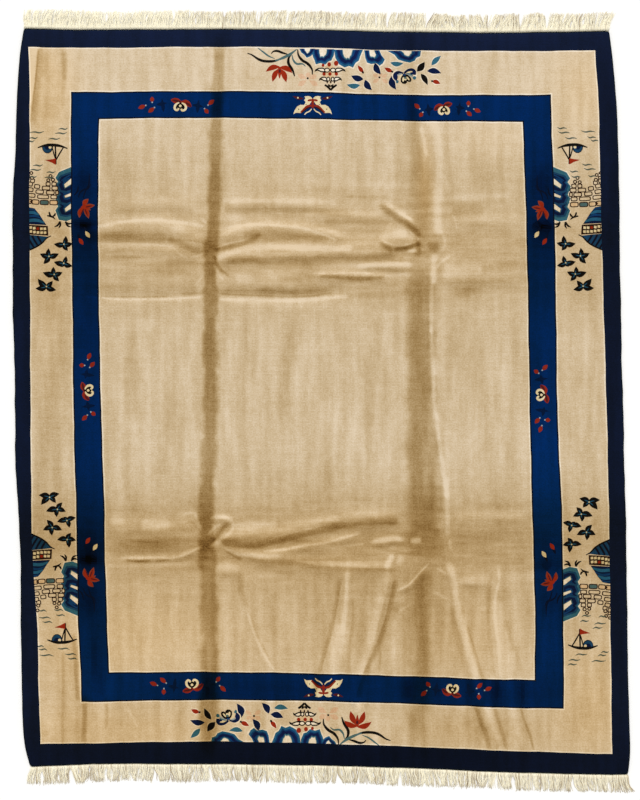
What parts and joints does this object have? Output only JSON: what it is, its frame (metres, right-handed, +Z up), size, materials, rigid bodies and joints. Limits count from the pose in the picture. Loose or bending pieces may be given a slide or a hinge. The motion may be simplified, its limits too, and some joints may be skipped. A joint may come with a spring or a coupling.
{
  "type": "peking rug",
  "caption": "Flat hand-knotted wool rug with a cream field, blue and navy borders and cotton fringe at both ends, creased from folding; lies on a floor.",
  "frame": {"origin": "on the floor, under the middle of the box round the whole rug, fringes included", "axes": "+X across the rug to the right as the picture shows it, +Y along the rug towards the picture's top, +Z up out of the pile"},
  "size_m": [2.5056, 3.1694, 0.0255],
  "materials": {
    "wool_pile": "cut wool pile, matt with a soft sheen",
    "cotton_warp": "plied undyed cotton, matt"
  },
  "bodies": {
    "root": {"pile": "wool_pile", "fringe_far_end": "cotton_warp", "fringe_near_end": "cotton_warp"}
  },
  "joints": []
}
